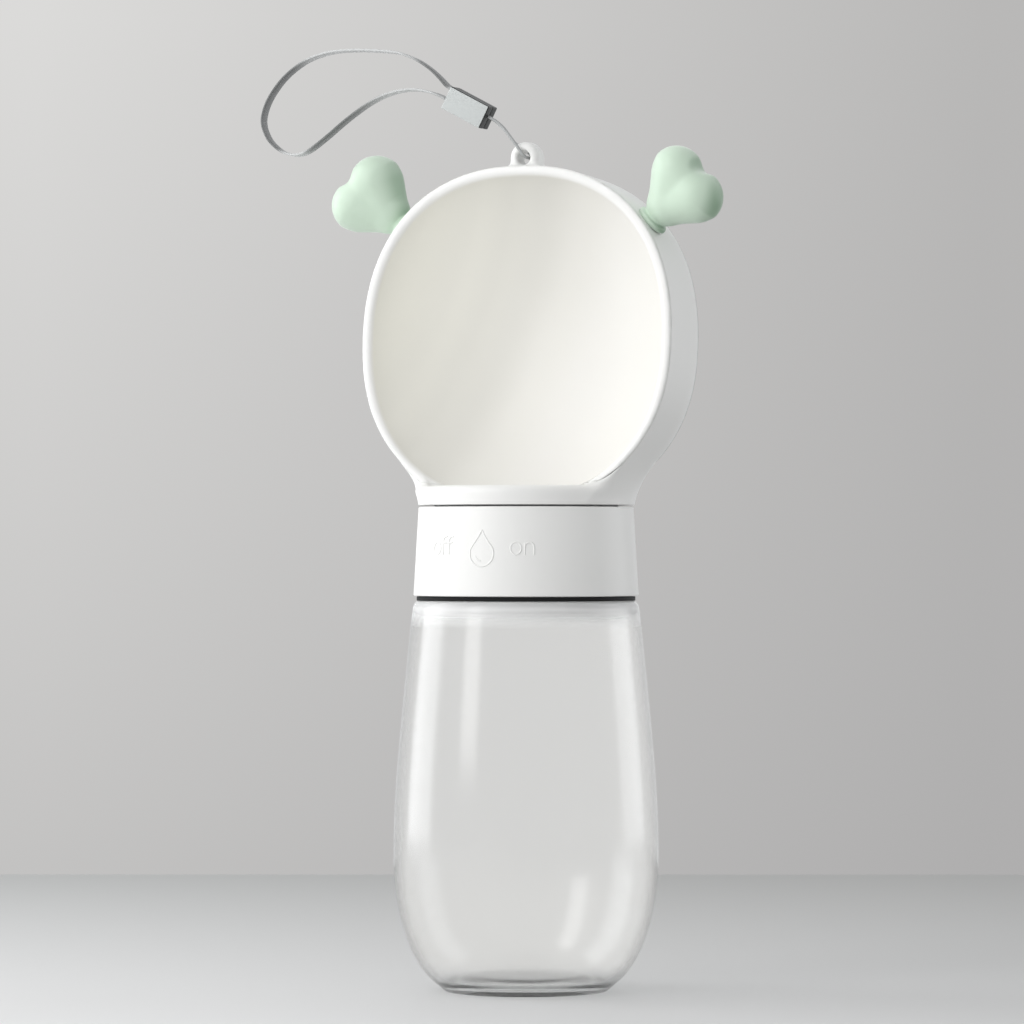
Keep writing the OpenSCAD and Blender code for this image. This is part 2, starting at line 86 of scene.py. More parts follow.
lights = dict(
    keyWindow=dict(angle=-54, height=0.66, distance=1.15, aimHeight=0.16, width=0.38, tall=1.0, power=3.2,
                   tint=(1.0, 0.995, 0.985)),
    frontWindow=dict(angle=-36, height=0.55, distance=1.15, aimHeight=0.15, width=0.5, tall=0.8, power=1.5,
                     mirrored=False),
    sideWindow=dict(angle=-83, height=0.60, distance=1.05, aimHeight=0.15, width=0.35, tall=0.6, power=1.2,
                    mirrored=False),
    leftStrip=dict(angle=-108, height=0.24, distance=1.0, aimHeight=0.11, width=0.60, tall=1.5, power=5.6,
                   tint=(0.975, 0.99, 1.0)),
    rightStrip=dict(angle=108, height=0.24, distance=1.0, aimHeight=0.11, width=0.56, tall=1.5, power=3.2,
                    tint=(0.975, 0.99, 1.0)))

addCamera()
for lampName, look in lights.items():
    softLight(lampName, **look)


def newTree(owner):
    owner.use_nodes = True
    owner.node_tree.nodes.clear()
    return owner.node_tree


def fill(tree, socket, value):
    # an input takes a plain value, or a link from another node's output
    if isinstance(value, bpy.types.NodeSocket):
        tree.links.new(value, socket)
    else:
        socket.default_value = value


def addNode(tree, kind, *ordered, out=0, **named):
    # adds a node and returns one of its outputs; names that begin with set_ are the node's
    # settings, and the rest are its inputs, by place or by name
    node = tree.nodes.new(kind)
    for key in [k for k in named if k.startswith("set_")]:
        setattr(node, key[4:], named.pop(key))
    for key, value in named.items():
        fill(tree, node.inputs[key.replace("_", " ")], value)
    for number, value in enumerate(ordered):
        fill(tree, node.inputs[number], value)
    return node.outputs[out] if node.outputs else None


def climb(tree, value, low, high, first=0.0, last=1.0, **named):
    # goes from first to last while the value goes from low to high
    return addNode(tree, "ShaderNodeMapRange", Value=value, From_Min=low, From_Max=high,
                   To_Min=first, To_Max=last, **named)


def reachAlong(tree, place, direction):
    # how far a place lies in a direction
    return addNode(tree, "ShaderNodeVectorMath", place, direction, set_operation="DOT_PRODUCT",
                   out="Value")


def blend(tree, share, first, second, way="MIX"):
    # each colour is an RGB tone or another node's output
    firstInput, secondInput, result = 6, 7, 2  # the mix node's sockets for colours
    mix = addNode(tree, "ShaderNodeMix", share, set_data_type="RGBA", set_blend_type=way, out=result)
    for number, colour in ((firstInput, first), (secondInput, second)):
        colour = colour if isinstance(colour, bpy.types.NodeSocket) else (*colour, 1)
        fill(tree, mix.node.inputs[number], colour)
    return mix


def fourTones(tree, across, deep, left, right):
    # left and right are pairs of tones that deep runs between
    return blend(tree, across, blend(tree, deep, *left), blend(tree, deep, *right))


def moulded(name, colour, shade, rough=0.4, grain=900.0, grainHeight=0.006, toneScale=35.0, **extra):
    # moulded plastic or rubber: two close tones, a fine mould grain, slightly uneven gloss
    uneven = 0.04
    material = bpy.data.materials.new(name)
    tree = newTree(material)
    place = addNode(tree, "ShaderNodeTexCoord", out="Object")
    tone = addNode(tree, "ShaderNodeTexNoise", Vector=place, Scale=toneScale, Detail=3.0)
    fine = addNode(tree, "ShaderNodeTexNoise", Vector=place, Scale=grain, Detail=2.0)
    bump = addNode(tree, "ShaderNodeBump", Strength=0.35, Distance=grainHeight * mm, Height=fine)
    gloss = climb(tree, fine, 0.0, 1.0, rough - uneven, rough + uneven)
    shader = addNode(tree, "ShaderNodeBsdfPrincipled", Base_Color=blend(tree, tone, colour, shade),
                     Roughness=gloss, Normal=bump, **extra)
    addNode(tree, "ShaderNodeOutputMaterial", Surface=shader)
    return material


def clearPlastic(name, tint, rough, ior=1.45):
    # its shadow is light, so that the floor under the bottle isn't black
    milky = dict(bottom=0.1030, top=0.1084, clearness=0.55)
    material = bpy.data.materials.new(name)
    tree = newTree(material)
    place = addNode(tree, "ShaderNodeTexCoord", out="Object")
    wave = addNode(tree, "ShaderNodeTexNoise", Vector=place, Scale=9.0, Detail=1.0)
    bump = addNode(tree, "ShaderNodeBump", Strength=0.12, Distance=0.0008, Height=wave)
    # the shoulder's rim is milky, the wall below it clear
    height = addNode(tree, "ShaderNodeSeparateXYZ", place, out="Z")
    clearness = climb(tree, height, milky["bottom"], milky["top"], 1.0, milky["clearness"])
    shader = addNode(tree, "ShaderNodeBsdfPrincipled", Base_Color=(*tint, 1), Roughness=rough, IOR=ior,
                     Transmission_Weight=clearness, Normal=bump)
    thin = addNode(tree, "ShaderNodeBsdfTransparent", Color=(0.95, 0.955, 0.955, 1))
    shadow = addNode(tree, "ShaderNodeLightPath", out="Is Shadow Ray")
    surface = addNode(tree, "ShaderNodeMixShader", shadow, shader, thin)
    addNode(tree, "ShaderNodeOutputMaterial", Surface=surface)
    return material


def toneBy(material, attribute, low, high, tone):
    # a second tone where the mesh's own attribute rises from low to high
    tree = material.node_tree
    colour = tree.nodes["Principled BSDF"].inputs["Base Color"]
    run = addNode(tree, "ShaderNodeAttribute", set_attribute_name=attribute, out="Fac")
    share = climb(tree, run, low, high, set_interpolation_type="SMOOTHSTEP")
    fill(tree, colour, blend(tree, share, colour.links[0].from_socket, tone))


def dishPaintedShade(material, rim):
    # painted shade on the bowl: its tone changes softly across a diagonal; the rim band keeps one clean
    # white
    diagonal = dict(direction=(-0.9285, 0, 0.3714), start=0.050, end=0.112)
    inwards = dict(direction=(0, 0.99813, -0.06105), rimEnd=-0.0193, bowlStart=-0.0182)
    stops = ((0.0, 0.80), (0.26, 0.785), (0.45, 0.74), (0.60, 0.77), (0.76, 0.84), (1.0, 0.92))
    tint = dict(green=0.985, blue=0.945, warmer=0.05)
    tree = material.node_tree
    colour = tree.nodes["Principled BSDF"].inputs["Base Color"]
    place = addNode(tree, "ShaderNodeTexCoord", out="Object")
    slant = reachAlong(tree, place, diagonal["direction"])
    share = climb(tree, slant, diagonal["start"], diagonal["end"])
    tones = addNode(tree, "ShaderNodeValToRGB", Fac=share, out="Color")
    ramp = tones.node.color_ramp
    ramp.interpolation = "EASE"
    while len(ramp.elements) < len(stops):
        ramp.elements.new(0.5)
    for element, (position, tone) in zip(ramp.elements, stops):
        # the painted shade is a little warmer towards the top left
        element.position = position
        blue = tint["blue"] - tint["warmer"] * position
        element.color = (tone, tone * tint["green"], tone * blue, 1)
    bowl = blend(tree, 1.0, colour.links[0].from_socket, tones, "MULTIPLY")
    depth = reachAlong(tree, place, inwards["direction"])
    inside = climb(tree, depth, inwards["rimEnd"], inwards["bowlStart"])
    fill(tree, colour, blend(tree, inside, rim, bowl))


shellWhite = moulded("shellWhite", (0.86, 0.86, 0.845), (0.84, 0.84, 0.825), rough=0.36)
dishWhite = moulded("dishWhite", (1.0, 1.0, 1.0), (0.985, 0.985, 0.98), rough=0.42)
valveWhite = moulded("valveWhite", (0.80, 0.81, 0.81), (0.76, 0.77, 0.77), rough=0.45)
mintSoft = moulded("mintSoft", (0.61, 0.745, 0.615), (0.585, 0.725, 0.59), rough=0.42,
                   grain=700.0, toneScale=60.0, Sheen_Weight=0.4, Sheen_Roughness=0.4)
sealGrey = moulded("sealGrey", (0.62, 0.64, 0.63), (0.56, 0.58, 0.57), rough=0.6)
sealBlack = moulded("sealBlack", (0.009, 0.0095, 0.01), (0.013, 0.0135, 0.014), rough=0.6,
                    Specular_IOR_Level=0.15)
screwSteel = moulded("screwSteel", (0.55, 0.56, 0.57), (0.495, 0.504, 0.513), rough=0.28,
                     grain=2600.0, grainHeight=0.003, Metallic=1.0)
cordGrey = moulded("cordGrey", (0.42, 0.43, 0.43), (0.36, 0.37, 0.37), rough=0.36,
                   grain=300.0, grainHeight=0.0005, toneScale=200.0)
strapGrey = moulded("strapGrey", (0.17, 0.175, 0.175), (0.19, 0.195, 0.195), rough=0.42,
                    grain=200.0, grainHeight=0.0005, toneScale=60.0)
claspPale = moulded("claspPale", (0.53, 0.555, 0.55), (0.52, 0.545, 0.54), rough=0.5,
                    grain=60.0, grainHeight=0.0005, toneScale=10.0)
# near-black painted shade for the clasp's end and top faces
claspPaintedShade = moulded("claspPaintedShade", (0.012, 0.013, 0.013), (0.035, 0.037, 0.037), rough=0.4,
                    grain=200.0, grainHeight=0.0005, toneScale=120.0)
bottleClear = clearPlastic("bottleClear", (0.99, 0.993, 0.993), rough=0.13)
# painted sheen: a lighter tone where the strap runs horizontal
toneBy(strapGrey, "level", low=0.80, high=0.995, tone=(0.60, 0.61, 0.61))
# painted shade: a deeper green where the hearts face right and down
toneBy(mintSoft, "heartPaintedShade", low=0.1, high=0.9, tone=(0.25, 0.39, 0.26))
# painted shade across the dish's bowl
dishPaintedShade(dishWhite, rim=(0.87, 0.87, 0.855))

floorLook = dict(behind=0.535, front=1.1, side=1.6, far=0.52, near=-0.12, left=-0.17, right=0.17,
                 leftTones=((0.47, 0.475, 0.47), (0.78, 0.78, 0.78)),
                 rightTones=((0.38, 0.38, 0.375), (0.56, 0.56, 0.56)),
                 footEdge=0.026, footEnd=0.040, through=(0.70, 0.695, 0.68, 1))
wallLook = dict(left=-0.092, right=0.086, low=-0.06, high=0.10,
                leftTones=((0.545, 0.54, 0.535), (0.71, 0.705, 0.695)),
                rightTones=((0.43, 0.425, 0.425), (0.485, 0.48, 0.475)),
                air=(0.99, 0.995, 1.0, 1), airLeft=1.0, airRight=0.34,
                mirrored=(0.97, 0.98, 0.99, 1), mirroredStrength=0.82, through=(0.66, 0.655, 0.645, 1))


def buildFloor(s):
    corners = []
    for across, depth in ((-1, -1), (1, -1), (1, 1), (-1, 1)):
        away = s["behind"] if depth > 0 else -s["front"]
        p = rightOfView * across * s["side"] - towardsCamera * away
        corners.append((p.x, p.y, 0))
    mesh = bpy.data.meshes.new("studioFloor")
    mesh.from_pydata(corners, [], [(0, 1, 2, 3)])
    material = bpy.data.materials.new("studioPaper")
    tree = newTree(material)
    place = addNode(tree, "ShaderNodeTexCoord", out="Object")
    # the paper's colour is graded darker towards the back and the right: painted light falloff
    deep = climb(tree, reachAlong(tree, place, -towardsCamera), s["far"], s["near"])
    across = climb(tree, reachAlong(tree, place, rightOfView), s["left"], s["right"])
    tone = fourTones(tree, across, deep, s["leftTones"], s["rightTones"])
    shader = addNode(tree, "ShaderNodeBsdfPrincipled", Base_Color=tone, Roughness=0.7)
    # through the milky wall the floor away from the foot is as even as the paper behind it
    reach = addNode(tree, "ShaderNodeVectorMath", place, set_operation="LENGTH", out="Value")
    away = climb(tree, reach, s["footEdge"], s["footEnd"])
    ray = addNode(tree, "ShaderNodeLightPath", out="Is Transmission Ray")
    through = addNode(tree, "ShaderNodeMath", ray, away, set_operation="MULTIPLY")
    glow = addNode(tree, "ShaderNodeEmission", Color=s["through"], Strength=1.0)
    surface = addNode(tree, "ShaderNodeMixShader", through, shader, glow)
    addNode(tree, "ShaderNodeOutputMaterial", Surface=surface)
    mesh.materials.append(material)
    linked("studioFloor", mesh)


def buildWall(s):
    # what the camera and the clear bottle see, and an even light for everything else
    world = bpy.data.worlds.new("studioAir")
    bpy.context.scene.world = world
    tree = newTree(world)
    place = addNode(tree, "ShaderNodeTexCoord", out="Generated")
    side = reachAlong(tree, place, rightOfView)
    across = climb(tree, side, s["left"], s["right"])
    height = climb(tree, addNode(tree, "ShaderNodeSeparateXYZ", place, out="Z"), s["low"], s["high"])
    # for the camera the backdrop's tone is graded darker towards the right and the bottom: painted light
    # falloff
    tone = fourTones(tree, across, height, s["leftTones"], s["rightTones"])
    strength = climb(tree, side, -1.0, 1.0, s["airLeft"], s["airRight"])
    last = addNode(tree, "ShaderNodeBackground", Color=s["air"], Strength=strength)
    rays = addNode(tree, "ShaderNodeLightPath").node.outputs
    for ray, colour, strength in (("Is Glossy Ray", s["mirrored"], s["mirroredStrength"]),
                                  ("Is Transmission Ray", s["through"], 1.0), ("Is Camera Ray", tone, 1.0)):
        seen = addNode(tree, "ShaderNodeBackground", Color=colour, Strength=strength)
        last = addNode(tree, "ShaderNodeMixShader", rays[ray], last, seen)
    addNode(tree, "ShaderNodeOutputWorld", Surface=last)


buildFloor(floorLook)
buildWall(wallLook)
print("studio ready")


def finishPiece(piece, material, body, slotName, *nodes):
    mesh = piece.data
    if not mesh.materials:
        mesh.materials.append(material)
    mesh.shade_smooth()
    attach(piece, body)
    if nodes:
        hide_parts(*nodes)
    return piece


def makePiece(name, points, faces, material, body, slotName, *nodes):
    mesh = bpy.data.meshes.new(name)
    mesh.from_pydata([tuple(p) for p in np.asarray(points) * mm], [], faces)
    mesh.update()
    return finishPiece(linked(name, mesh), material, body, slotName, *nodes)


def outwards(points, faces):
    # turns the faces round if they enclose a negative volume
    total = 0.0
    p = np.asarray(points, float)
    for f in faces:
        a = p[f[0]]
        for i in range(1, len(f) - 1):
            total += float(np.dot(a, np.cross(p[f[i]], p[f[i + 1]])))
    return faces if total > 0 else [tuple(reversed(f)) for f in faces]


def openTree(name, **inputs):
    # a geometry tree that takes an outline, its own inputs and a material
    tree = bpy.data.node_groups.new(name, "GeometryNodeTree")
    inputs = dict(Outline=("Geometry", None), **inputs, Finish=("Material", None))
    for label, (kind, value) in inputs.items():
        socket = tree.interface.new_socket(name=label, in_out="INPUT", socket_type="NodeSocket" + kind)
        if value is not None:
            socket.default_value = value
    tree.interface.new_socket(name="Geometry", in_out="OUTPUT", socket_type="NodeSocketGeometry")
    return tree, tree.nodes.new("NodeGroupInput").outputs


def closeTree(tree, geometry, finish):
    real = addNode(tree, "GeometryNodeRealizeInstances", Geometry=geometry)
    paint = addNode(tree, "GeometryNodeSetMaterial", Geometry=real, Material=finish)
    addNode(tree, "NodeGroupOutput", Geometry=paint)
    return tree


def calc(tree, operation, *values):
    return addNode(tree, "ShaderNodeMath", *values, set_operation=operation)


def turnedTree():
    # revolves a polyline of (radius, 0, height) points about Z: a grid one metre square, whose
    # rows take the polyline's points and whose columns take the angles
    tree, given = openTree("turnedForm", Segments=("Int", 128), Weld=("Float", 0.00001))
    count = addNode(tree, "GeometryNodeAttributeDomainSize", Geometry=given["Outline"], out="Point Count")
    grid = addNode(tree, "GeometryNodeMeshGrid", Size_X=1.0, Size_Y=1.0,
                   Vertices_X=calc(tree, "ADD", given["Segments"], 1), Vertices_Y=count)
    position = addNode(tree, "GeometryNodeInputPosition")
    split = addNode(tree, "ShaderNodeSeparateXYZ", position).node.outputs
    angle = calc(tree, "MULTIPLY_ADD", split["X"], 2 * math.pi, math.pi)
    row = calc(tree, "MULTIPLY", calc(tree, "ADD", split["Y"], 0.5), calc(tree, "SUBTRACT", count, 1))
    sample = addNode(tree, "GeometryNodeSampleIndex", set_data_type="FLOAT_VECTOR",
                     Geometry=given["Outline"], Value=position, Index=calc(tree, "ROUND", row))
    found = addNode(tree, "ShaderNodeSeparateXYZ", sample).node.outputs
    x = calc(tree, "MULTIPLY", calc(tree, "COSINE", angle), found["X"])
    y = calc(tree, "MULTIPLY", calc(tree, "SINE", angle), found["X"])
    place = addNode(tree, "ShaderNodeCombineXYZ", x, y, found["Z"])
    move = addNode(tree, "GeometryNodeSetPosition", Geometry=grid, Position=place)
    weld = addNode(tree, "GeometryNodeMergeByDistance", Geometry=move, Distance=given["Weld"])
    return closeTree(tree, weld, given["Finish"])


def sweptTree():
    # a round stroke along every chain of edges
    tree, given = openTree("sweptStroke", Radius=("Float", 0.0003))
    curve = addNode(tree, "GeometryNodeMeshToCurve", Mesh=given["Outline"])
    ring = addNode(tree, "GeometryNodeCurvePrimitiveCircle", Resolution=8, Radius=given["Radius"])
    sweep = addNode(tree, "GeometryNodeCurveToMesh", Curve=curve, Profile_Curve=ring, Fill_Caps=True)
    return closeTree(tree, sweep, given["Finish"])


def socketName(tree, label):
    return next(s.identifier for s in tree.interface.items_tree if s.name == label and s.in_out == "INPUT")


def runTree(name, tree, points, edges, inputs, material):
    mesh = bpy.data.meshes.new(name + "Outline")
    mesh.from_pydata([tuple(p) for p in np.asarray(points) * mm], edges, [])
    source = linked(name + "Outline", mesh)
    modifier = source.modifiers.new("form", "NODES")
    modifier.node_group = tree
    for label, value in inputs.items():
        modifier[socketName(tree, label)] = value
    modifier[socketName(tree, "Finish")] = material
    bpy.context.view_layer.update()
    grown = bpy.data.meshes.new_from_object(source.evaluated_get(bpy.context.evaluated_depsgraph_get()))
    grown.name = name
    grown.materials.clear()
    grown.materials.append(material)
    grown.polygons.foreach_set("material_index", np.zeros(len(grown.polygons), np.int32))
    source.modifiers.remove(modifier)
    bpy.data.objects.remove(source)
    work = bmesh.new()
    work.from_mesh(grown)
    bmesh.ops.dissolve_degenerate(work, dist=1e-7, edges=work.edges)
    bmesh.ops.recalc_face_normals(work, faces=work.faces)
    if work.calc_volume(signed=True) < 0:
        bmesh.ops.reverse_faces(work, faces=work.faces)
    work.to_mesh(grown)
    work.free()
    return linked(name, grown)


turnedForm = turnedTree()


def turnedPiece(name, outline, segments, material, weld=0.000004):
    points = [(r, 0, z) for r, z in outline]
    edges = [(i, i + 1) for i in range(len(points) - 1)]
    return runTree(name, turnedForm, points, edges, {"Segments": segments, "Weld": weld}, material)


def rounded(corners, steps=5):
    # outline of (radius, height, rounding) corners, each turned into a small arc
    most = 0.49  # the share of a side that one corner may take
    out = []
    for i, (r, z, size) in enumerate(corners):
        here = np.array((r, z), float)
        if size <= 0 or i in (0, len(corners) - 1):
            out.append(tuple(here))
            continue
        before = np.array(corners[i - 1][:2], float) - here
        after = np.array(corners[i + 1][:2], float) - here
        size = min(size, most * np.linalg.norm(before), most * np.linalg.norm(after))
        a = here + before / np.linalg.norm(before) * size
        b = here + after / np.linalg.norm(after) * size
        for t in np.linspace(0, 1, steps + 1):
            out.append(tuple((1 - t) ** 2 * a + 2 * t * (1 - t) * here + t * t * b))
    return out


bottleSizes = dict(radius=37.6, belly=38.0, foot=19.5, arcFrom=18, arcPoints=28, straight=2, segments=160,
                   wall=2.0, shoulder=110.6, shoulderRadius=31.95, wallEnd=4, wallPoints=34, soft=0.35,
                   punt=2.4, puntIn=5.5, puntSoft=3, footRing=23.0, footFlat=1.6, footLift=0.1, footSoft=0.5,
                   footEdge=0.35, floorIn=1.5, floorSoft=1.5, cornerSteps=8,
                   rimOut=0.05, rimLow=1.2, rimSoft=1, rimIn=1.0, rimEdge=0.6, rimSteps=6,
                   mouthRadius=24.0, mouthTop=126.0, mouthEdge=0.4, neckIn=0.2, roof=1.7, roofIn=0.4,
                   roofSoft=1.0)


def buildBottle(s):
    def wallOutline(inset):
        out = []
        for t in np.radians(np.linspace(s["arcFrom"], 90, s["arcPoints"])):
            out.append((s["foot"] + (s["radius"] - s["foot"] - inset) * math.sin(t),
                        s["belly"] - (s["belly"] - inset) * math.cos(t)))
        start = s["belly"] + s["straight"]
        rise = s["shoulder"] - start
        top = math.sqrt(1 + s["soft"] ** 2) - s["soft"]
        for z in np.linspace(start, s["shoulder"] - s["wallEnd"], s["wallPoints"]):
            t = (z - start) / rise
            share = (math.sqrt(t * t + s["soft"] ** 2) - s["soft"]) / top
            out.append((s["radius"] - (s["radius"] - s["shoulderRadius"]) * share - inset, z))
        return out

    outer = wallOutline(0)
    inner = wallOutline(s["wall"])
    ring, top, edge, mouth = s["footRing"], s["shoulderRadius"], s["mouthEdge"], s["mouthRadius"]
    neckIn = mouth - s["wall"] - s["neckIn"]
    roof = s["shoulder"] - s["roof"]
    floorTop = s["punt"] + s["wall"]
    base = rounded([(0, s["punt"], 0), (ring - s["puntIn"], s["punt"], s["puntSoft"]),
                    (ring - s["footFlat"], s["footLift"], s["footSoft"]), (ring, 0, s["footEdge"]),
                    (*outer[0], 0)], s["cornerSteps"])
    shoulder = rounded([(*outer[-1], 0), (top + s["rimOut"], s["shoulder"] - s["rimLow"], s["rimSoft"]),
                        (top - s["rimIn"], s["shoulder"], s["rimEdge"]), (mouth, s["shoulder"], edge),
                        (mouth, s["mouthTop"], edge), (neckIn, s["mouthTop"], edge),
                        (neckIn, roof, s["roofSoft"]), (top - s["wall"] - s["roofIn"], roof, s["roofSoft"]),
                        (*inner[-1], 0)], s["rimSteps"])
    floor = rounded([(*inner[0], 0), (ring - s["floorIn"], s["wall"], s["floorSoft"]),
                     (ring - s["puntIn"], floorTop, s["puntSoft"]), (0, floorTop, 0)], s["cornerSteps"])
    outline = base[:-1] + outer + shoulder[1:-1] + inner[::-1] + floor[1:]
    return turnedPiece("clearBottle", outline, s["segments"], bottleClear)


finishPiece(buildBottle(bottleSizes), bottleClear, "bottle", "clear_body", "bottle")

collarSizes = dict(low=31.95, top=30.5, bore=28.6, bottomZ=112.0, topZ=137.2, edge=0.45, boreEdge=0.3,
                   lead=1, segments=192)


def buildCollar(s):
    start = (s["bore"], s["bottomZ"] + s["lead"], 0)
    corners = [start, (s["bore"] + s["lead"], s["bottomZ"], s["boreEdge"]),
               (s["low"], s["bottomZ"], s["edge"]), (s["top"], s["topZ"], s["edge"]),
               (s["bore"], s["topZ"], s["boreEdge"]), start]
    return turnedPiece("collarGrip", rounded(corners, 5), s["segments"], shellWhite)


finishPiece(buildCollar(collarSizes), shellWhite, "collar", "white_shell", "collar_ring")

ringSizes = dict(outer=31.05, inner=25.5, bottomZ=110.65, topZ=111.85, edge=0.25, innerEdge=0.1,
                 dark=0.35, segments=160)


def buildRing(s):
    start = (s["inner"], s["topZ"], 0)
    outline = rounded([start, (s["inner"], s["bottomZ"], s["innerEdge"]),
                       (s["outer"], s["bottomZ"], s["edge"]), (s["outer"], s["topZ"], s["edge"]), start], 4)
    piece = turnedPiece("shoulderRing", outline, s["segments"], sealBlack)
    # only the outer edge is dark: a black seal edge that also paints the shadow in the gap under the collar;
    # the rest is pale, so that the ring doesn't show through the clear shoulder
    piece.data.materials.append(valveWhite)
    for face in piece.data.polygons:
        edge = math.hypot(face.center.x, face.center.y) > (s["outer"] - s["dark"]) * mm
        face.material_index = 0 if edge else 1
    return piece


finishPiece(buildRing(ringSizes), sealBlack, "bottle", "dark_seal", "shoulder_ring")

markSizes = dict(base=123.7, radius=0.27, sink=0.08, onAngle=22.0, offAngle=-25.0, dropAngle=0.5,
                 dropBase=120.4)


def arc(cx, cy, rx, ry, a0, a1, count=14):
    return [(cx + rx * math.cos(t), cy + ry * math.sin(t)) for t in np.radians(np.linspace(a0, a1, count))]


def buildMarks(s):
    # plain words for the two valve positions and a drop between them, in strokes of (across, up)
    letterO = arc(0, 1.75, 1.5, 1.75, 90, 450, 25)
    letterN = [(0, 0), (0, 3.3)]
    archN = [(0, 2.0)] + arc(1.3, 2.0, 1.3, 1.45, 160, 0, 10) + [(2.6, 0)]
    stemF = [(0, 0), (0, 3.9)] + arc(1.1, 3.9, 1.1, 1.2, 170, 70, 7)
    barF = [(-0.75, 3.3), (1.2, 3.3)]
    bowl = arc(0, 3.6, 3.6, 3.6, 32, -212, 28)
    drop = [(0, 10.2), (0.9, 8.5), (2.0, 6.9)] + bowl + [(-2.0, 6.9), (-0.9, 8.5), (0, 10.2)]
    gleam = arc(0, 3.6, 2.0, 2.0, 200, 265, 8)
    on = ((-1.75, letterO), (0.75, letterN), (0.75, archN))
    off = ((-2.0, letterO), (0.6, stemF), (0.6, barF), (2.9, stemF), (2.9, barF))
    marks = ((s["onAngle"], s["base"], on), (s["offAngle"], s["base"], off),
             (s["dropAngle"], s["dropBase"], ((0, drop), (0, gleam))))
    points, edges = [], []
    c = collarSizes
    for angle, base, strokes in marks:
        for shift, line in strokes:
            for i, (across, up) in enumerate(line):
                z = base + up
                taper = (c["top"] - c["low"]) * (z - c["bottomZ"]) / (c["topZ"] - c["bottomZ"])
                r = c["low"] + taper - s["sink"]
                a = math.radians(angle) + (across + shift) / r
                if i:
                    edges.append((len(points) - 1, len(points)))
                points.append((r * math.sin(a), -r * math.cos(a), z))
    return runTree("collarMarks", sweptTree(), points, edges, {"Radius": s["radius"] * mm}, shellWhite)


finishPiece(buildMarks(markSizes), shellWhite, "collar", "white_shell")
print("bottle and collar ready")


def blendMin(a, b, k):
    # the smaller of two distances, with a join softened over k
    h = np.clip(0.5 + 0.5 * (b - a) / k, 0, 1)
    return b * (1 - h) + a * h - k * h * (1 - h)


def blendMax(a, b, k):
    return -blendMin(-a, -b, k)


def surfaceNet(field, low, high, step):
    # one point in each cell that the surface passes, one quad across each grid edge it crosses
    axes = [np.arange(low[i], high[i] + step, step) for i in range(3)]
    x, y, z = np.meshgrid(*axes, indexing="ij")
    value = field(x, y, z)
    del x, y, z
    shape = tuple(n - 1 for n in value.shape)
    total = np.zeros(shape + (3,), np.float32)
    hits = np.zeros(shape, np.int8)
    crossings = []
    for axis in range(3):
        a = np.take(value, range(value.shape[axis] - 1), axis)
        b = np.take(value, range(1, value.shape[axis]), axis)
        cross = (a < 0) != (b < 0)
        where = np.argwhere(cross)
        va, vb = a[cross], b[cross]
        share = va / (va - vb)
        crossings.append((where, va < 0))
        point = where.astype(np.float32)
        point[:, axis] += share
        others = [i for i in range(3) if i != axis]
        for da in (0, 1):
            for db in (0, 1):
                cell = where.copy()
                cell[:, others[0]] -= da
                cell[:, others[1]] -= db
                ok = np.all((cell >= 0) & (cell < np.array(shape)), axis=1)
                c = cell[ok]
                np.add.at(total, tuple(c.T), point[ok])
                np.add.at(hits, tuple(c.T), 1)
    used = hits > 0
    number = np.full(shape, -1, np.int64)
    number[used] = np.arange(int(used.sum()))
    points = total[used] / hits[used][:, None] * step + np.array(low)
    quads = []
    for axis, (where, inside) in enumerate(crossings):
        others = [(axis + 1) % 3, (axis + 2) % 3]
        ring = []
        ok = np.ones(len(where), bool)
        for da, db in ((-1, -1), (0, -1), (0, 0), (-1, 0)):
            cell = where.copy()
            cell[:, others[0]] += da
            cell[:, others[1]] += db
            good = np.all((cell >= 0) & (cell < np.array(shape)), axis=1)
            ok &= good
            cell[~good] = 0
            ring.append(number[tuple(cell.T)])
        quad = np.stack(ring, 1)
        quad[~inside] = quad[~inside][:, ::-1]
        quads.append(quad[ok])
    return points, np.concatenate(quads)


def slope(field, p, h=0.02):
    out = np.zeros_like(p)
    for i in range(3):
        d = np.zeros(3)
        d[i] = h
        out[:, i] = (field(*(p + d).T) - field(*(p - d).T)) / (2 * h)
    return out


def settle(field, points, quads, laps=2, reach=0.4, keep=0.4):
    # evens the net out and pulls it back onto the exact surface
    for lap in range(laps + 1):
        for _ in range(3):
            g = slope(field, points)
            size = np.maximum((g * g).sum(1), 1e-6)
            points = points - np.clip(field(*points.T) / size, -reach, reach)[:, None] * g
        if lap == laps:
            return points
        total = np.zeros_like(points)
        count = np.zeros(len(points))
        for a in range(4):
            for b in ((a + 1) % 4, (a + 3) % 4):
                np.add.at(total, quads[:, a], points[quads[:, b]])
                np.add.at(count, quads[:, a], 1)
        points = keep * points + (1 - keep) * total / count[:, None]


def splitBy(points, triangles, value):
    # cuts the triangles along value = 0; returns points, triangles below zero, triangles above
    over = value >= 0
    made = {}
    extra = []

    def cutPoint(i, j):
        i, j = min(i, j), max(i, j)
        if (i, j) not in made:
            t = value[i] / (value[i] - value[j])
            made[(i, j)] = len(points) + len(extra)
            extra.append(points[i] * (1 - t) + points[j] * t)
        return made[(i, j)]

    s = over[triangles]
    below = [tuple(t) for t in triangles[~s.any(1)]]
    above = [tuple(t) for t in triangles[s.all(1)]]
    for tri in triangles[s.any(1) & ~s.all(1)]:
        flags = over[tri]
        lone = int(np.argmax(flags)) if flags.sum() == 1 else int(np.argmin(flags))
        a, b, c = int(tri[lone]), int(tri[(lone + 1) % 3]), int(tri[(lone + 2) % 3])
        ab, ac = cutPoint(a, b), cutPoint(a, c)
        loneSide, otherSide = (above, below) if over[a] else (below, above)
        loneSide.append((a, ab, ac))
        otherSide += [(ab, b, c), (ab, c, ac)]
    if extra:
        points = np.concatenate([points, extra])
    return points, np.array(below), np.array(above)


def trimmed(points, triangles):
    # leaves out the points that no triangle uses
    used = np.unique(triangles)
    number = np.full(len(points), -1)
    number[used] = np.arange(len(used))
    return points[used], number[triangles]


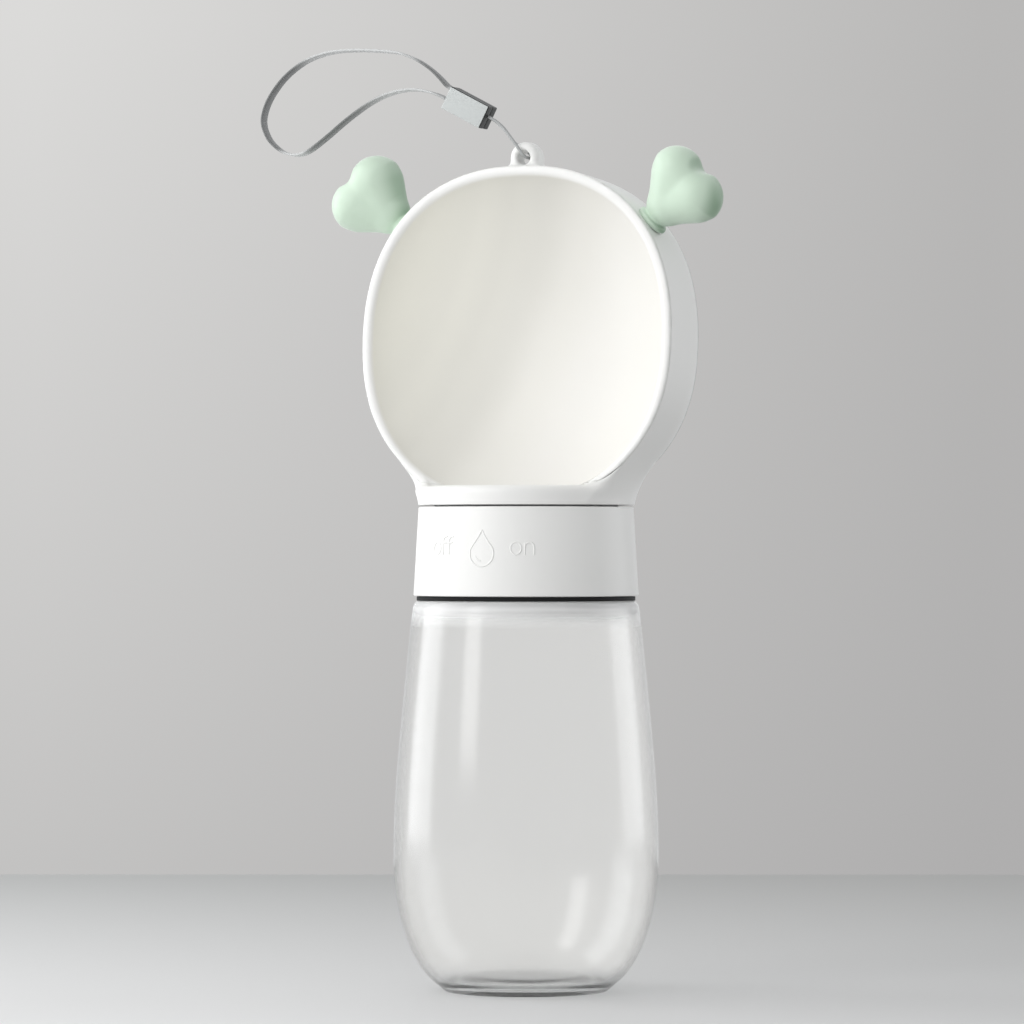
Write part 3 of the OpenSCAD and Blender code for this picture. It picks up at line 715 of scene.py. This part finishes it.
def thickened(field, points, triangles, wall, ease):
    # gives a skin its wall: the same surface again, set back along the normal, and a rim between
    points, triangles = trimmed(points, triangles)
    g = slope(field, points)
    normal = g / np.maximum(np.linalg.norm(g, axis=1), 1e-6)[:, None]
    edges = np.concatenate([triangles[:, [0, 1]], triangles[:, [1, 2]], triangles[:, [2, 0]]])
    known = dict.fromkeys(map(tuple, edges.tolist()))
    rim = [(a, b) for a, b in known if (b, a) not in known]
    onRim = np.zeros(len(points), bool)
    onRim[np.array(rim)] = True
    front = points.copy()
    front[onRim] -= normal[onRim] * ease(points[onRim])[:, None]
    back = points - normal * wall
    n = len(points)
    faces = [tuple(int(v) for v in t) for t in triangles]
    faces += [(int(c) + n, int(b) + n, int(a) + n) for a, b, c in triangles]
    faces += [(b, a, a + n, b + n) for a, b in rim]
    return np.concatenate([front, back]), faces


headSizes = dict(half=47.7, up=49.5, down=46.3, power=2.27, depth=30.0, front=0.14, rimFront=8.4,
                 centreZ=184.6, lean=3.5, frontEdge=0.9, backEdge=13.0,
                 wall=0.8, step=0.58, quickStep=0.95, margin=1.5,
                 neckRadius=30.5, neckBottom=137.7, neckTop=148.0, neckSoft=7.0, neckBelow=2.4, flare=8.0,
                 lipZ=143.4, lipSoft=4.5, lipInside=27.6, lipEdge=0.7, lipFootEdge=2.0, lipFoot=5,
                 troughZ=142.5, troughSoft=2.5, troughBlend=2.0, troughLip=1.0,
                 dishHalf=45.2, dishUp=47.0, dishDown=45.6, dishDepth=20.0, dishSide=2.3, dishFloor=1.3,
                 dishReach=12, dishFront=1.6, dishFrontEdge=0.8, dishEdge=1.0,
                 lugRadius=4.45, lugZ=236.4, lugFrom=-2.15, lugTo=4.15, lugEdge=2.2, lugFoot=40,
                 lugBlend=2.0, lugHole=2.0, holeEdge=1.0)
seamSizes = dict(behind=0.85, inset=1.6, outside=0.35, ahead=1.2, deep=21, aboveLip=0.6, sill=0.4, gap=0.13,
                 closedZ=172, closedRise=12, closedAcross=8, closedShare=0.98,
                 cover=22.5, coverGap=0.05, coverAboveLip=4, coverNear=8, coverEase=0.02)


def superellipse(x, w, half, up, down, power):
    # distance past the outline, the share of the way out to it, and how fast that share grows
    tall = np.where(w > 0, up, down)
    ax, aw = np.abs(x) / half, np.abs(w) / tall
    share = np.maximum(ax ** power + aw ** power, 1e-9) ** (1 / power)
    gx = ax ** (power - 1) / half
    gw = aw ** (power - 1) / tall
    growth = share ** (1 - power) * np.sqrt(gx * gx + gw * gw) + 1e-6
    return (share - 1) / growth, share, growth


def headLocal(y, z):
    # depth behind the rim and height above the middle, in the leaning head's own axes
    s = headSizes
    c, n = math.cos(math.radians(s["lean"])), math.sin(math.radians(s["lean"]))
    dy, dz = y + s["rimFront"], z - s["centreZ"]
    return dy * c - dz * n, dy * n + dz * c


def headField(x, y, z):
    s = headSizes
    v, w = headLocal(y, z)
    side, _, _ = superellipse(x, w, s["half"], s["up"], s["down"], s["power"])
    drum = blendMax(side, -s["front"] - v, s["frontEdge"])
    drum = blendMax(drum, v - s["depth"], s["backEdge"])
    radius = np.hypot(x, y)
    neck = blendMax(radius - s["neckRadius"], z - s["neckTop"], s["neckSoft"])
    body = blendMin(drum, neck, s["flare"])
    lug = np.hypot(x, z - np.minimum(z, s["lugZ"])) - s["lugRadius"]
    lugSides = np.abs(y - (s["lugFrom"] + s["lugTo"]) / 2) - (s["lugTo"] - s["lugFrom"]) / 2
    lug = np.maximum(blendMax(lug, lugSides, s["lugEdge"]), s["centreZ"] + s["lugFoot"] - z)
    body = blendMin(body, lug, s["lugBlend"])
    noHole = -9.0
    hole = np.where(z > s["centreZ"], s["lugHole"] - np.hypot(x, z - s["lugZ"]), noHole)
    body = blendMax(body, hole, s["holeEdge"])
    # in front of the rim everything above the lip is open, and behind the lip runs a trough
    above = blendMax(s["lipZ"] - z, v, s["lipSoft"])
    trough = blendMax(radius - s["lipInside"], s["troughZ"] - z, s["troughSoft"])
    trough = blendMax(trough, v, s["troughBlend"])
    lipEdge = s["lipEdge"] + s["lipFootEdge"] * np.clip((s["lipZ"] + s["lipFoot"] - z) / s["lipFoot"], 0, 1)
    body = blendMax(body, -blendMin(above, trough, s["troughLip"]), lipEdge)
    _, share, growth = superellipse(x, w, s["dishHalf"], s["dishUp"], s["dishDown"], s["power"])
    depth = np.maximum(v, 0) / s["dishDepth"]
    m, q = s["dishSide"], s["dishFloor"]
    bowl = share ** m + depth ** q - 1
    steep = np.hypot(m * share ** (m - 1) * growth, q * np.maximum(depth, 1e-4) ** (q - 1) / s["dishDepth"])
    bowl = np.clip(bowl / steep, -s["dishReach"], s["dishReach"])
    bowl = blendMax(bowl, -s["dishFront"] - v, s["dishFrontEdge"])
    return blendMax(body, -bowl, s["dishEdge"])


def dishSeam(x, y, z):
    # negative on the dish: inside the outline and in front of the seam, bowl included
    s, t = headSizes, seamSizes
    v, w = headLocal(y, z)
    side, _, _ = superellipse(x, w, s["half"], s["up"], s["down"], s["power"])
    foot = np.minimum(s["lipZ"] + t["aboveLip"] - z, t["sill"] - v)
    band = np.minimum(v - t["behind"], side + t["inset"])
    return np.maximum.reduce([side - t["outside"], -t["ahead"] - v, v - t["deep"], band, foot])


def coverSeam(x, y, z):
    # negative on the rear cover
    v, _ = headLocal(y, z)
    return np.maximum(seamSizes["cover"] - v, headSizes["lipZ"] + seamSizes["coverAboveLip"] - z)


def seamGap(p):
    # half the dish's seam; it closes where the rim runs into the left cheek
    t = seamSizes
    low = np.clip((t["closedZ"] - p[:, 2]) / t["closedRise"], 0, 1)
    left = np.clip(-p[:, 0] / t["closedAcross"], 0, 1)
    return t["gap"] * (1 - t["closedShare"] * (low * left))


def seamEase(p):
    # how far each piece's edge is set back: hardly at all at the cover's seam
    t = seamSizes
    return np.where(coverSeam(*p.T) > -t["coverNear"], t["coverEase"], 0.5 * seamGap(p))


def buildHead(s):
    step = s["step"]
    margin = s["margin"]
    low = (-s["half"] - margin, -s["neckRadius"] - margin, s["neckBottom"] - s["neckBelow"])
    high = (s["half"] + margin, s["neckRadius"] + margin, s["lugZ"] + s["lugRadius"] + margin)
    points, quads = surfaceNet(headField, low, high, step)
    points = settle(headField, points, quads)
    triangles = np.concatenate([quads[:, [0, 1, 2]], quads[:, [0, 2, 3]]])
    # the net is open below the neck's lower edge, where the collar begins
    points, _, triangles = splitBy(points, triangles, points[:, 2] - s["neckBottom"])
    points, dish, rest = splitBy(points, triangles, dishSeam(*points.T) + seamGap(points))
    points, _, rest = splitBy(points, rest, dishSeam(*points.T) - seamGap(points))
    points, cover, shell = splitBy(points, rest, coverSeam(*points.T) + seamSizes["coverGap"])
    points, _, shell = splitBy(points, shell, coverSeam(*points.T) - seamSizes["coverGap"])
    for name, faces, material, slotName, node in (
        ("drinkingDish", dish, dishWhite, "dish_white", "drinking_dish"),
        ("headShell", shell, shellWhite, "white_shell", "head_shell"),
        ("rearCover", cover, shellWhite, "white_shell", "rear_cover"),
    ):
        p, f = thickened(headField, points, faces, s["wall"], seamEase)
        makePiece(name, p, f, material, "head", slotName, node)
        print(name, len(p), "points")


buildHead(headSizes)
print("head ready")

heartSizes = dict(seatX=38.3, seatY=1.0, seatZ=217.6, tilt=49.0, lean=0.10, leanFrom=2.0,
                  tip=6.4, tipRadius=5.4, lobeOut=14.7, lobeSide=4.4, lobeRadius=7.4, lobeSoft=0.8,
                  plateIn=0.2, plateSoft=2.2,
                  notchOut=24.6, notchRadius=3.6, notchNarrow=1.25, notchSoft=2.0,
                  flange=4.8, flangeFrom=-0.5, flangeTop=1.1, flangeEdge=0.7, flangeSoft=0.8,
                  stemLow=3.3, stemHigh=2.8, stemSoft=1.2, plug=2.5, plugEnd=-3.7,
                  low=(-13, -8.6, -4.6), high=(13, 8.6, 24.5), step=0.42, paintedShadeDirection=(0.86, 0.40, -0.32))


def heartField(a, b, c):
    # own axes: a across the heart, b through its thickness, c out along the stem
    s = heartSizes
    rise = s["lobeOut"] - s["tip"]
    up = c - s["tip"]

    def cone(radial, along, length):
        # a ball at the tip, a larger one at the far end and their common tangent cone
        slant = (s["tipRadius"] - s["lobeRadius"]) / length
        flat = math.sqrt(1 - slant * slant)
        k = along * flat - radial * slant
        side = radial * flat + along * slant - s["tipRadius"]
        low = np.hypot(radial, along) - s["tipRadius"]
        high = np.hypot(radial, along - length) - s["lobeRadius"]
        return np.where(k < 0, low, np.where(k > flat * length, high, side))

    def lobe(side):
        length = math.hypot(side, rise)
        along = (a * side + up * rise) / length
        return cone(np.sqrt(np.maximum(a * a + b * b + up * up - along * along, 0)), along, length)

    # the body between the lobes: a plate from the tip to both, nearly as thick as they are
    across = np.maximum(np.abs(a) - np.clip(up / rise, 0, 1) * s["lobeSide"], 0)
    plate = cone(np.hypot(across, b), up, rise) + s["plateIn"]
    lobes = blendMin(lobe(s["lobeSide"]), lobe(-s["lobeSide"]), s["lobeSoft"])
    notch = s["notchRadius"] - np.hypot(a * s["notchNarrow"], c - s["notchOut"])
    heart = blendMax(blendMin(lobes, plate, s["plateSoft"]), notch, s["notchSoft"])
    radius = np.hypot(a, b)
    stem = np.maximum(radius - (s["stemLow"] + (s["stemHigh"] - s["stemLow"]) * np.clip(c / s["tip"], 0, 1)),
                      np.maximum(-c, c - s["tip"]))
    flange = np.maximum(s["flangeFrom"] - c, c - s["flangeTop"])
    flange = blendMax(radius - s["flange"], flange, s["flangeEdge"])
    plug = np.maximum(radius - s["plug"], np.maximum(s["plugEnd"] - c, c))
    return np.minimum(blendMin(blendMin(heart, stem, s["stemSoft"]), flange, s["flangeSoft"]), plug)


def addAttribute(piece, name, values):
    piece.data.attributes.new(name, "FLOAT", "POINT").data.foreach_set("value", values.astype(np.float32))


def buildHeart(side, name, node):
    s = heartSizes
    points, quads = surfaceNet(heartField, s["low"], s["high"], s["step"])
    points = settle(heartField, points, quads)
    tilt = math.radians(side * s["tilt"])
    a, b, c = points.T
    b = b - s["lean"] * np.maximum(c - s["leanFrom"], 0)
    x = a * math.cos(tilt) + c * math.sin(tilt) + side * s["seatX"]
    z = -a * math.sin(tilt) + c * math.cos(tilt) + s["seatZ"]
    piece = makePiece(name, np.stack([x, b + s["seatY"], z], 1), [tuple(int(v) for v in q) for q in quads],
                      mintSoft, "head", "mint", node)
    # how far each point faces right and down, for the painted shade: a deeper green there
    normals = np.array([v.normal for v in piece.data.vertices])
    addAttribute(piece, "heartPaintedShade", normals @ np.array(s["paintedShadeDirection"]))


buildHeart(-1, "heartLeft", "ear_heart_left")
buildHeart(1, "heartRight", "ear_heart_right")
print("hearts ready")


# the middle of the cord as (x, y, z), and of the strap as (x, z)
cordRoute = [
    (-10.77, -1.8, 248.26), (-9.5, -1.95, 247.55), (-8.2, -2.15, 246.7), (-6.5, -2.5, 245.3),
    (-4.8, -2.8, 243.7), (-3.1, -3.0, 241.7), (-1.7, -3.1, 239.9), (-0.6, -3.1, 238.4),
    (0.1, -2.95, 237.4), (0.5, -2.3, 236.75), (0.6, -1.3, 236.45), (0.6, 0, 236.4), (0.6, 1.3, 236.4),
    (0.6, 2.6, 236.4), (0.5, 3.9, 236.5), (0.1, 4.75, 236.9), (-0.9, 5.1, 237.7), (-2.3, 5.1, 238.7),
    (-3.8, 4.6, 239.8), (-5.0, 3.6, 241.0), (-5.7, 2.4, 242.3), (-6.3, 1.3, 243.7), (-7.2, 0.6, 245.1),
    (-8.5, 0.2, 246.4), (-9.7, -0.1, 247.35), (-10.91, -0.2, 248.0)]
strapRoute = [
    (-22.2, 256.58), (-23.2, 257.1), (-24.5, 258.1), (-26.2, 259.9), (-28.5, 262.0), (-30.8, 263.7),
    (-33.2, 265.2), (-35.9, 266.4), (-38.9, 267.5), (-42.6, 268.1), (-46.6, 268.5), (-50.6, 268.8),
    (-54.7, 268.9), (-58.7, 268.8), (-62.1, 268.4), (-65.5, 267.6), (-68.9, 266.4), (-72.3, 264.5),
    (-75.4, 262.2), (-77.9, 259.7), (-80.2, 256.7), (-81.8, 253.8), (-82.7, 250.9), (-82.8, 248.8),
    (-82.2, 246.5), (-80.8, 243.9), (-78.8, 241.9), (-76.8, 240.5), (-74.4, 239.6), (-72.0, 239.3),
    (-69.3, 239.8), (-66.9, 241.0), (-64.2, 242.8), (-61.4, 244.8), (-58.1, 247.3), (-54.7, 249.7),
    (-51.3, 251.9), (-47.9, 253.8), (-43.9, 255.5), (-39.9, 256.5), (-36.5, 256.9), (-33.2, 256.8),
    (-29.8, 256.1), (-27.5, 255.4), (-25.6, 254.6), (-23.79, 253.8)]
claspSizes = dict(x=-17.3, y=-1.0, z=251.1, tilt=27.5, length=13.5, height=6.9, thick=6.0, seam=0.1,
                  edge=0.4, edgeSteps=4, edgeProfile=0.6, paintedShadeEnd=0.45, paintedShadeTop=0.35)
strapSizes = dict(y=claspSizes["y"], width=5.0, thick=0.7, turn=9.0, turnRun=16, endPoints=6)
cordSizes = dict(diameter=0.9, perSpan=3, roundness=4)


def smoothRoute(route, perSpan=4):
    # Catmull-Rom through the points
    p = np.array(route, float)
    ends = np.concatenate([[2 * p[0] - p[1]], p, [2 * p[-1] - p[-2]]])
    out = []
    for i in range(1, len(ends) - 2):
        a, b, c, d = ends[i - 1:i + 3]
        for t in np.arange(perSpan) / perSpan:
            bend = (2 * a - 5 * b + 4 * c - d) * t * t + (3 * b - a - 3 * c + d) * t ** 3
            out.append(0.5 * (2 * b + (c - a) * t + bend))
    out.append(p[-1])
    return np.array(out)


def routeLength(route):
    return float(np.linalg.norm(np.diff(route, axis=0), axis=1).sum())


def buildStrap(s):
    route = smoothRoute([(x, s["y"], z) for x, z in strapRoute])
    w, t = s["width"] / 2, s["thick"] / 2
    section = []
    for cx, start in ((w - t, -90), (t - w, 90)):
        for angle in np.radians(np.linspace(start, start + 180, s["endPoints"])):
            section.append((cx + t * math.cos(angle), t * math.sin(angle)))
    ahead = np.gradient(route, axis=0)
    ahead /= np.linalg.norm(ahead, axis=1)[:, None]
    points = []
    for i, (p, d) in enumerate(zip(route, ahead)):
        # its width runs along Y at both ends and is turned a little along the loop
        turned = math.radians(s["turn"]) * min(1, min(i, len(route) - 1 - i) / s["turnRun"])
        side = np.array((-math.sin(turned), math.cos(turned), 0.0))
        n = np.cross(side, d)
        for a, b in section:
            points.append(p + a * side + b * n)
    count, ring = len(route), len(section)
    faces = [tuple(range(ring))[::-1], tuple((count - 1) * ring + k for k in range(ring))]
    for i in range(count - 1):
        for k in range(ring):
            m = (k + 1) % ring
            faces.append((i * ring + k, i * ring + m, (i + 1) * ring + m, (i + 1) * ring + k))
    faces = outwards(points, faces)
    piece = makePiece("wristStrap", points, faces, strapGrey, "head", "strap", "wrist_strap")
    # how nearly horizontal the strap runs, for its painted sheen: a lighter tone where it runs horizontal
    addAttribute(piece, "level", np.repeat(np.abs(ahead[:, 0]), ring))
    return piece, route


def buildCord(s):
    route = smoothRoute(cordRoute, s["perSpan"])
    data = bpy.data.curves.new("lanyardCord", "CURVE")
    data.dimensions = "3D"
    data.bevel_depth = s["diameter"] / 2 * mm
    data.bevel_resolution = s["roundness"]
    data.use_fill_caps = True
    spline = data.splines.new("POLY")
    spline.points.add(len(route) - 1)
    for point, place in zip(spline.points, route * mm):
        point.co = (*place, 1)
    data.materials.append(cordGrey)
    piece = linked("lanyardCord", data)
    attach(piece, "head")
    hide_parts("lanyard_cord")
    return piece, route


def buildClasp(name, side, node):
    s = claspSizes
    half = (s["thick"] - s["seam"]) / 2
    work = bmesh.new()
    bmesh.ops.create_cube(work, size=1)
    for v in work.verts:
        v.co = (v.co.x * s["length"], v.co.y * half + side * (half + s["seam"]) / 2, v.co.z * s["height"])
    bmesh.ops.bevel(work, geom=list(work.edges), offset=s["edge"], segments=s["edgeSteps"],
                    profile=s["edgeProfile"], affect="EDGES")
    work.normal_update()
    # painted shade: the end face and the top face take the near-black second material
    for f in work.faces:
        f.material_index = 1 if f.normal.x > s["paintedShadeEnd"] or f.normal.z > s["paintedShadeTop"] else 0
    turnBy = Matrix.Translation((s["x"], s["y"], s["z"])) @ Matrix.Rotation(math.radians(s["tilt"]), 4, "Y")
    bmesh.ops.transform(work, matrix=Matrix.Scale(mm, 4) @ turnBy, verts=work.verts)
    mesh = bpy.data.meshes.new(name)
    work.to_mesh(mesh)
    work.free()
    mesh.materials.append(claspPale)
    mesh.materials.append(claspPaintedShade)
    return finishPiece(linked(name, mesh), claspPale, "head", "clasp_white", node)


claspFront = buildClasp("claspFront", -1, "clasp_front")
claspBack = buildClasp("claspBack", 1, "clasp_back")
strap, strapPath = buildStrap(strapSizes)
cord, cordPath = buildCord(cordSizes)
print("cord", round(routeLength(cordPath), 1), "strap", round(routeLength(strapPath), 1))

# the CAD nodes that keep their shape
finishes = {
    "mouth_gasket": sealGrey, "threaded_cap": shellWhite, "valve_seat": sealGrey,
    "valve_disc": valveWhite, "neck_oring": sealBlack, "pivot_screw": screwSteel,
    "pivot_washer": screwSteel, "outlet_grommet": sealGrey, "dish_seal": sealGrey,
    "rear_seal": sealGrey, "ear_clip_left": sealGrey, "ear_clip_right": sealGrey}
for nodeName, material in finishes.items():
    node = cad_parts[nodeName]
    node.data.materials.clear()
    node.data.materials.append(material)
print("materials ready")
